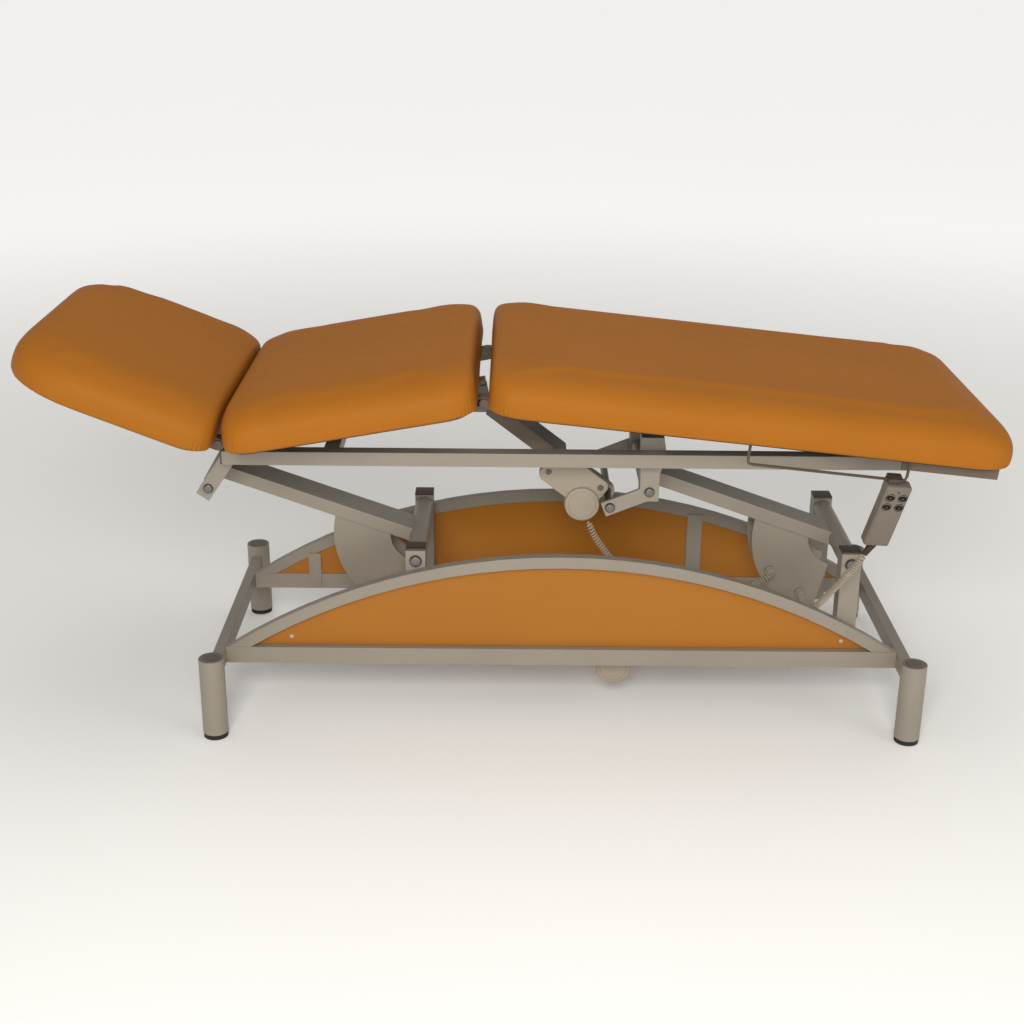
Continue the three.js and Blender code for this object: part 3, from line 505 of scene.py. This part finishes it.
def cushion_layers(x0, x1, ends):
    """Rounded-rectangle outlines from the bottom of the padding up, in the section's frame."""
    layers = []
    (lean_0, share_0, corner_0), (lean_1, share_1, corner_1) = ends
    swell = SWELL["sideways"] - 1
    for n, inset in cushion_profile():
        height = (n - CUSHION["bottom"]) / (CUSHION["top"] - CUSHION["bottom"])
        left = x0 + swell + lean_0 * height**2 + inset * share_0
        right = x1 - swell - lean_1 * height**2 - inset * share_1
        corners = (corner_0 + CORNER_GROWTH * inset, corner_1 + CORNER_GROWTH * inset)
        layers.append(rounded_ring(left, right, CUSHION["half_y"] - swell - inset, corners, 12, n))
    return layers


def evaluated_mesh(thing):
    graph = bpy.context.evaluated_depsgraph_get()
    return bpy.data.meshes.new_from_object(thing.evaluated_get(graph))


def positions(mesh):
    flat = np.empty(len(mesh.vertices) * 3, np.float32)
    mesh.vertices.foreach_get("co", flat)
    return flat.reshape(-1, 3).astype(float)


def set_positions(mesh, places):
    mesh.vertices.foreach_set("co", places.astype(np.float32).ravel())
    mesh.update()


def inflate(thing):
    """The skin blown up by a cloth simulation, stapled along its lower edge."""
    start = positions(thing.data)
    pinned = thing.vertex_groups.new(name="stapled")
    low = np.nonzero(start[:, 2] < (CUSHION["bottom"] + CLOTH["stapled"]) * MM)[0]
    pinned.add([int(i) for i in low], 1.0, "REPLACE")
    cloth = thing.modifiers.new("cloth", "CLOTH")
    cloth.settings.effector_weights.gravity = 0
    cloth.settings.use_pressure = True
    cloth.settings.uniform_pressure_force = CLOTH["pressure"]
    cloth.settings.vertex_group_mass = "stapled"
    cloth.settings.quality = CLOTH["quality"]
    cloth.collision_settings.use_collision = False
    scene = bpy.context.scene
    scene.frame_start, scene.frame_end = 1, CLOTH["frames"]
    for i in range(1, CLOTH["frames"] + 1):
        scene.frame_set(i)
    blown = evaluated_mesh(thing)
    moved = positions(blown) - start
    bpy.data.meshes.remove(blown)
    thing.modifiers.remove(cloth)
    scene.frame_set(1)
    return moved


def held_back(moved, places, x0, x1):
    """The swelling, kept small sideways, and let up more and more from the outline to the top's middle."""
    from_end = np.minimum(places[:, 0] - x0 * MM, x1 * MM - places[:, 0])
    from_edge = np.minimum(from_end, CUSHION["half_y"] * MM - np.abs(places[:, 1]))
    share = np.clip(from_edge / (SWELL["from_edge"] * MM), 0, 1)
    share = share * share * (3 - 2 * share)
    moved[:, 2] = np.clip(moved[:, 2], 0, SWELL["up"] * MM) * share
    sideways = np.linalg.norm(moved[:, :2], axis=1)[:, None] + 1e-12
    moved[:, :2] *= np.minimum(1, SWELL["sideways"] * MM / sideways)
    return moved


def pleats(co, x0, x1, ends):
    """Gathers at the foot of the four corners, where the skin is stapled round the board."""
    height = np.clip((co[:, 2] / MM - CUSHION["bottom"]) / PLEAT["height"], 0, 1)
    middle = (x0 + x1) / 2 * MM
    at_left = co[:, 0] < middle
    corner = np.where(at_left, ends[0][2], ends[1][2]) * MM
    cx = np.where(at_left, x0 * MM + corner, x1 * MM - corner)
    cy = np.sign(co[:, 1]) * (CUSHION["half_y"] * MM - corner)
    dx, dy = co[:, 0] - cx, co[:, 1] - cy
    outside = (np.abs(co[:, 0] - middle) > np.abs(cx - middle)) & (np.abs(co[:, 1]) > np.abs(cy))
    angle = np.arctan2(np.abs(dy), np.abs(dx) + 1e-9)
    reach = np.hypot(dx, dy) + 1e-9
    rim = np.clip((reach - 0.6 * corner) / (0.35 * corner), 0, 1) * outside
    wave = 0.5 - 0.5 * np.cos(angle * corner / MM * 2 * math.pi / PLEAT["spacing"])
    side = np.clip(np.sin(angle * 2), 0, 1) ** 0.5
    tight = np.minimum(1, PLEAT["corner"] * MM / corner) ** 2
    depth = PLEAT["depth"] * MM * wave * side * (1 - height) ** 1.4 * rim * tight
    co[:, 0] -= dx / reach * depth
    co[:, 1] -= dy / reach * depth
    return co


def board(x0, x1, ends, matrix):
    """The board under the padding: a plate with round corners."""
    low, high = CUSHION["board"], CUSHION["bottom"] + 6
    corners = [end[2] - BOARD_INSET["corner"] for end in ends]
    rings = []
    for n, ease in ((low, 1.5), (low + 1.5, 0), (high, 0)):
        inset = BOARD_INSET["edge"] + ease
        rings.append(rounded_ring(x0 + inset, x1 - inset, CUSHION["half_y"] - inset, corners, 8, n))
    mesh = ring_shell(rings)
    mesh.transform(matrix)
    return mesh


def add_cushion(name, section, body, x0, x1, ends):
    """One pad from x0 to x1 along its section: a skin blown up over its padding, and the board below."""
    matrix = section_matrix(section)
    thing = bpy.data.objects.new(name, ring_shell(cushion_layers(x0, x1, ends)))
    bpy.context.scene.collection.objects.link(thing)
    remesh = thing.modifiers.new("remesh", "REMESH")
    remesh.mode = "VOXEL"
    remesh.voxel_size = CLOTH["voxel"] * MM
    thing.data = evaluated_mesh(thing)
    thing.modifiers.clear()
    places = positions(thing.data)
    moved = inflate(thing)
    set_positions(thing.data, places + held_back(moved, places, x0, x1))
    relax = thing.modifiers.new("relax", "SMOOTH")
    relax.factor = 0.5
    relax.iterations = 3
    finer = thing.modifiers.new("finer", "SUBSURF")
    finer.levels = finer.render_levels = 2
    finished = evaluated_mesh(thing)
    bpy.data.objects.remove(thing)
    set_positions(finished, pleats(positions(finished), x0, x1, ends))
    finished.transform(matrix)
    made = piece(name, finished, LOOKS["upholstery"], body, angle=80)
    piece(name + "_board", board(x0, x1, ends, matrix), BOARD, body)
    return made


# Each end: how far its top leans back, the share of the rounding that it has, and its corner radius.
HEAD_END = (0, 0.5, 160)
FOOT_END = (0, 0.7, 80)
FLUSH_END = (-8, 0.18, 66)
LEANING_END = (6, 0.2, 66)
head = add_cushion("head_pad", HEAD, "head_section", -424, -1, (HEAD_END, LEANING_END))
middle = add_cushion("middle_pad", MIDDLE, "middle_section", 1, 500.5, (LEANING_END, FLUSH_END))
long_pad = add_cushion("long_pad", LONG, "long_section", 2.5, 1016, (FLUSH_END, FOOT_END))
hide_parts("head_cushion")
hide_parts("middle_cushion")
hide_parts("long_cushion")


# ---- Handset ----
def handset_matrix():
    """The handset's own frame: its hook is at the origin, Z runs up it and -Y is its face."""
    hang = section_matrix(LONG) @ Vector((797 * MM, -310.5 * MM, -26 * MM))
    turn = (
        Matrix.Rotation(math.radians(6), 4, "Z")
        @ Matrix.Rotation(math.radians(20), 4, "X")
        @ Matrix.Rotation(math.radians(7), 4, "Y")
    )
    return Matrix.Translation(hang) @ turn


def add_handset():
    matrix = handset_matrix()
    shell = block((-26, -16.2, -156.2), (26, 10.3, -6.2), 5.5, matrix, 5)
    body = piece("handset_body", shell, LOOKS["handset_plastic"], "long_section", 60)
    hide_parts("handset")
    facing = block((-22.5, -16.7, -151), (22.5, -15, -11), 0.8, matrix, 2)
    piece("handset_face", facing, LOOKS["handset_plastic"], "long_section")
    outwards = matrix.to_3x3() @ Vector((0, -1, 0))
    number = 0
    for row in (-31, -54):
        for column in (-12.5, 12.5):
            number += 1
            centre = disc_matrix(matrix @ (Vector((column, -16.7, row)) * MM), outwards)
            ring = [(8.1, -0.5), (8.1, 0.4), (8.6, 0.7), (9.3, 0.4), (9.6, -0.5), (8.1, -0.5)]
            collar = lathe(ring, centre)
            piece(f"button_collar_{number}", collar, COLLAR, "long_section")
            mark = [
                block((column - 2.2, -18.6, row - 0.3), (column + 2.2, -18.35, row + 0.3), 0.08, matrix, 1),
                block((column - 0.3, -18.6, row - 1.3), (column + 0.3, -18.35, row + 1.3), 0.08, matrix, 1),
            ]
            piece(f"button_mark_{number}", joined(mark), MARK, f"button_{number}")
    hook = [
        block((-25, 7.7, -26), (3, 10.3, 8.8), 0.8, matrix, 2),
        block((-25, -8.8, 6.4), (3, 10.3, 8.8), 0.8, matrix, 2),
        block((-25, -8.8, -2), (3, -6.4, 8.8), 0.8, matrix, 2),
    ]
    piece("handset_hook", joined(hook), CAP_DARK, "long_section")
    lens = disc_matrix(matrix @ (Vector((0, -16.6, -17)) * MM), outwards)
    lamp = lathe([(0, 2), (1.6, 1.6), (2.2, 0.4), (2.2, -1), (0, -1)], lens, 24)
    piece("handset_lamp", lamp, LED, "long_section")
    root, tip = P(603.5, -261, 416), P(590, -258, 392)
    axis = disc_matrix(tip, root - tip)
    length = (root - tip).length / MM
    rings = [(0, 0), (4.5, 0)]
    for i in range(5):
        z = 1 + i * (length - 4) / 5
        r = 6 + i * 0.45
        rings += [(r, z), (r, z + 3), (r - 1.6, z + 3.6), (r - 1.6, z + 4.6)]
    rings += [(8.5, length - 3), (8.5, length + 1), (0, length + 1)]
    boot = piece("handset_boot", lathe(rings, axis, 32), BOOT, "long_section")
    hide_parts("handset_strain_relief")
    return boot


handset_boot = add_handset()


# ---- Curly cords ----
def coil(points, lead_in, lead_out):
    """The wire's own line: a helix round a route, which draws in to the route at an end that has a lead."""
    step = CORD["pitch"] * MM / CORD["steps"]
    route = smooth_path([P(*p) for p in points], step)
    along = np.arange(len(route)) * step
    lead = CORD["lead"] * MM
    draw = np.ones(len(route))
    if lead_in:
        draw = np.minimum(draw, np.clip(along / lead, 0, 1))
    if lead_out:
        draw = np.minimum(draw, np.clip((along[-1] - along) / lead, 0, 1))
    wire = []
    for k, (point, side, up) in enumerate(carried_frames(route, [0.2, 0.9, 0.1])):
        a = 2 * math.pi * k / CORD["steps"]
        r = CORD["coil"] * MM * math.sin(draw[k] * math.pi / 2)
        wire.append(point + r * (math.cos(a) * side + math.sin(a) * up))
    return np.array(wire)


def add_cord(name, route, split, held, body_low, body_top, node):
    """One cord in two lengths that meet at a point of the route.

    held, body_low and body_top are not used."""
    lengths = (("lower", route[split:], (body_low, "upper_frame")), ("upper", route[: split + 1], body_top))
    for part, points, bodies in lengths:
        upper = part == "upper"
        line = coil(points, upper, not upper)
        skin = tube(line, [CORD["radius"] * MM] * len(line), 8)
        thing = piece(f"{name}_{part}", skin, LOOKS["cord_sheath"], None)
        start = P(*points[-1])
        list(bodies)
        start if upper else P(*route[held])
        P(*points[0])
        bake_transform(thing)
        if not upper:
            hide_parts(node)


# The routes, from the motor or the handset down to the glands on the near guard of the right arm.
MOTOR_CORD = [
    (52, -131, 406), (58, -137, 392), (72, -139, 366), (94, -138, 335), (124, -133, 303), (162, -124, 274),
    (208, -112, 252), (262, -99, 239), (322, -88, 236), (372, -82, 240), (412, -77, 249), (438, -68, 259),
    (446, -58, 262), (446, -45.5, 262),
]
HANDSET_CORD = [
    (589.6, -257.9, 391.3), (584, -256.5, 380), (576, -250, 363), (566, -240, 342), (555, -226, 316),
    (541, -205, 284), (529, -181, 252), (521, -152, 228), (516, -118, 212), (514, -84, 207), (514, -60, 211),
    (514, -45.5, 212),
]
add_cord("motor_cord", MOTOR_CORD, 3, -1, "right_arm", ("upper_frame", "drainage_actuator"), "motor_cord")
add_cord(
    "handset_cord",
    HANDSET_CORD,
    3,
    6,
    "right_arm",
    ("upper_frame", "long_section"),
    "handset_cord",
)


# ---- Caps, screws, straps and other small parts ----
def add_caps():
    dish = [(0, 2.0), (12, 1.8), (18.5, 0.9), (20.5, -0.6), (21.5, 0.6), (23, 0.8), (23.6, -1), (0, -1)]
    bottom, top = POST["cap"]
    for y in (-LEG["y"], LEG["y"]):
        for x in (-LEG["x"], LEG["x"]):
            cap = lathe(dish, disc_matrix(P(x, y, LEG["top"]), (0, 0, 1)))
            piece(f"leg_cap_{near_far(y)}_{left_right(x)}", cap, CAP_GREY, "base")
        for x in POST["x"]:
            low, high = sorted((math.copysign(POST["inner_y"], y), math.copysign(POST["outer_y"], y)))
            x0, x1 = x + SHIFT_X - POST["half_width"], x + SHIFT_X + POST["half_width"]
            cap = block((x0, low - 0.5, bottom), (x1, high + 0.5, top), 1.6)
            piece(f"post_cap_{near_far(y)}_{left_right(x)}", cap, CAP_DARK, "base")


def add_rail_plugs():
    """Plugs in the open ends of the two top rails."""
    bottom, top = TOP_RAIL["z"]
    for side in (-1, 1):
        low, high = sorted(side * y for y in TOP_RAIL["y"])
        for end in ("left", "right"):
            x0, x1 = TOP_RAIL[end]
            plug = block((x0 + SHIFT_X, low, bottom), (x1 + SHIFT_X, high, top), 1.4)
            piece(f"rail_plug_{near_far(side)}_{end}", plug, CAP_DARK, "upper_frame")


def screw_head(centre, outwards, radius):
    """A domed head with a recess in it, on a washer."""
    where = disc_matrix(centre, outwards)
    recess = [(0, 1.4), (2.6, 1.4), (2.9, 3.0)]
    dome = [(radius * 0.62, 3.1), (radius * 0.9, 1.9), (radius, 0.6), (radius, -1), (0, -1)]
    washer = [(0, 0.6), (radius * 1.5, 0.6), (radius * 1.6, 0.2), (radius * 1.6, -0.6), (0, -0.6)]
    return joined([lathe(recess + dome, where), lathe(washer, where)])


def add_panel_fittings():
    for side in (-1, 1):
        where = near_far(side)
        y, z, radius = (PANEL_SCREWS[key] for key in ("y", "z", "radius"))
        screws = [screw_head(P(x, side * y, z), (0, side, 0), radius) for x in PANEL_SCREWS["x"]]
        piece(f"panel_screws_{where}", joined(screws), SCREW, "base")
        low, high = sorted(side * y for y in PANEL_STRAPS["y"])
        for i, (x0, x1, bottom, top) in enumerate(PANEL_STRAPS["boxes"]):
            strap = block((x0 + SHIFT_X, low, bottom), (x1 + SHIFT_X, high, top), 0.8)
            piece(f"panel_strap_{where}_{i}", strap, LOOKS["frame_paint"], "base")


def add_motor_covers():
    drain = drive_matrix(DRAIN_DRIVE)
    lift = drive_matrix(LIFT_DRIVE)
    for name, matrix, centre, radius, body in (
        ("drainage_motor_cover", drain, (40, -75.2, 38), 35.2, "drainage_actuator"),
        ("lift_motor_cover", lift, (45, -148.2, 45), 35.7, "lift_actuator"),
    ):
        lid = [(0, 1.0), (radius - 8, 1.0), (radius - 7, 2.2), (radius - 3, 2.2)]
        rim = [(radius - 0.8, 1.2), (radius, -0.4), (radius, -2), (0, -2)]
        cover = lathe(lid + rim, disc_matrix(matrix @ (Vector(centre) * MM), (0, -1, 0)), 56)
        piece(name, cover, LOOKS["motor_plastic"], body)
    ribs = [block((52 + 14 * i, -23.5, -22), (56 + 14 * i, -18, 22), 1.0, lift) for i in range(4)]
    piece("lift_gearbox_ribs", joined(ribs), LOOKS["motor_plastic"], "lift_actuator")
    screws = []
    for x, z in ((32, 26), (136, 26), (32, -12), (136, -12)):
        screws.append(screw_head(drain @ (Vector((x, -71.2, z)) * MM), (0, -1, 0), 4.2))
    piece("drainage_gearbox_screws", joined(screws), LOOKS["zinc_steel"], "drainage_actuator")


def weld(name, points, body):
    """A rippled bead along points."""
    line = smooth_path(points, WELD["step"] * MM)
    k = np.arange(len(line))
    radii = MM * (WELD["radius"] + 0.35 * np.sin(k * 1.9) + 0.15 * np.sin(k * 0.73))
    piece(name, tube(line, radii, 10), LOOKS["frame_paint"], body)


def add_welds():
    """A bead where each post meets the top of its side rail."""
    z = WELD["z"]
    for side in (-1, 1):
        y = side * WELD["y"]
        for x in POST["x"]:
            bead = [P(x - 19, y, z - 0.1), P(x - 6, y, z), P(x + 6, y, z), P(x + 19, y, z - 0.1)]
            weld(f"post_weld_{near_far(side)}_{left_right(x)}", bead, "base")


add_caps()
add_rail_plugs()
add_panel_fittings()
add_motor_covers()
add_welds()


# ---- Studio ----
def light_up_far_floor():
    """The floor glows more and more away from the object, as a lit studio floor does, and so stays pale."""
    tree = FLOOR.node_tree
    shader = next(n for n in tree.nodes if n.type == "BSDF_PRINCIPLED")
    place = tree.nodes.new("ShaderNodeTexCoord")
    distance = tree.nodes.new("ShaderNodeVectorMath")
    distance.operation = "LENGTH"
    glow = tree.nodes.new("ShaderNodeMapRange")
    glow.inputs["From Min"].default_value = GLOW["from"]
    glow.inputs["From Max"].default_value = GLOW["to"]
    glow.inputs["To Min"].default_value = GLOW["near"]
    glow.inputs["To Max"].default_value = GLOW["far"]
    glow.interpolation_type = "SMOOTHSTEP"
    tree.links.new(place.outputs["Object"], distance.inputs[0])
    tree.links.new(distance.outputs["Value"], glow.inputs["Value"])
    tree.links.new(glow.outputs["Result"], shader.inputs["Emission Strength"])
    shader.inputs["Emission Color"].default_value = (1, 0.99, 0.98, 1)


def add_studio():
    corners = [(FLOOR_HALF * x, FLOOR_HALF * y, 0) for x, y in ((-1, -1), (1, -1), (1, 1), (-1, 1))]
    plane = mesh_of(corners, [(0, 1, 2, 3)], "floor")
    floor = bpy.data.objects.new("studio_floor", plane)
    floor.location.z = -0.0005
    plane.materials.append(FLOOR)
    bpy.context.scene.collection.objects.link(floor)
    light_up_far_floor()
    world = bpy.data.worlds.new("studio")
    world.use_nodes = True
    sky = world.node_tree.nodes["Background"]
    sky.inputs["Color"].default_value = SKY["colour"]
    sky.inputs["Strength"].default_value = SKY["strength"]
    bpy.context.scene.world = world
    bpy.context.scene.view_settings.view_transform = "Standard"
    for name, at, aim, size, power, colour in LAMPS:
        light = bpy.data.lights.new(name, "AREA")
        light.shape = "SQUARE"
        light.size = size
        light.energy = power
        light.color = colour
        lamp = bpy.data.objects.new(name, light)
        lamp.location = at
        lamp.rotation_euler = (Vector(aim) - Vector(at)).to_track_quat("-Z", "Y").to_euler()
        bpy.context.scene.collection.objects.link(lamp)


def add_camera():
    pitch, roll = math.radians(CAMERA["pitch"]), math.radians(CAMERA["roll"])
    forward = Vector((0, math.cos(pitch), -math.sin(pitch)))
    right = Vector((1, 0, 0))
    up = right.cross(forward)
    turned_right = math.cos(roll) * right + math.sin(roll) * up
    turned_up = -math.sin(roll) * right + math.cos(roll) * up
    basis = Matrix((turned_right, turned_up, -forward)).transposed()
    data = bpy.data.cameras.new("camera")
    data.lens = CAMERA["lens"]
    data.sensor_width = CAMERA["sensor"]
    camera = bpy.data.objects.new("camera", data)
    camera.matrix_world = Matrix.Translation(CAMERA["at"]) @ basis.to_4x4()
    bpy.context.scene.collection.objects.link(camera)
    bpy.context.scene.camera = camera


add_studio()
add_camera()
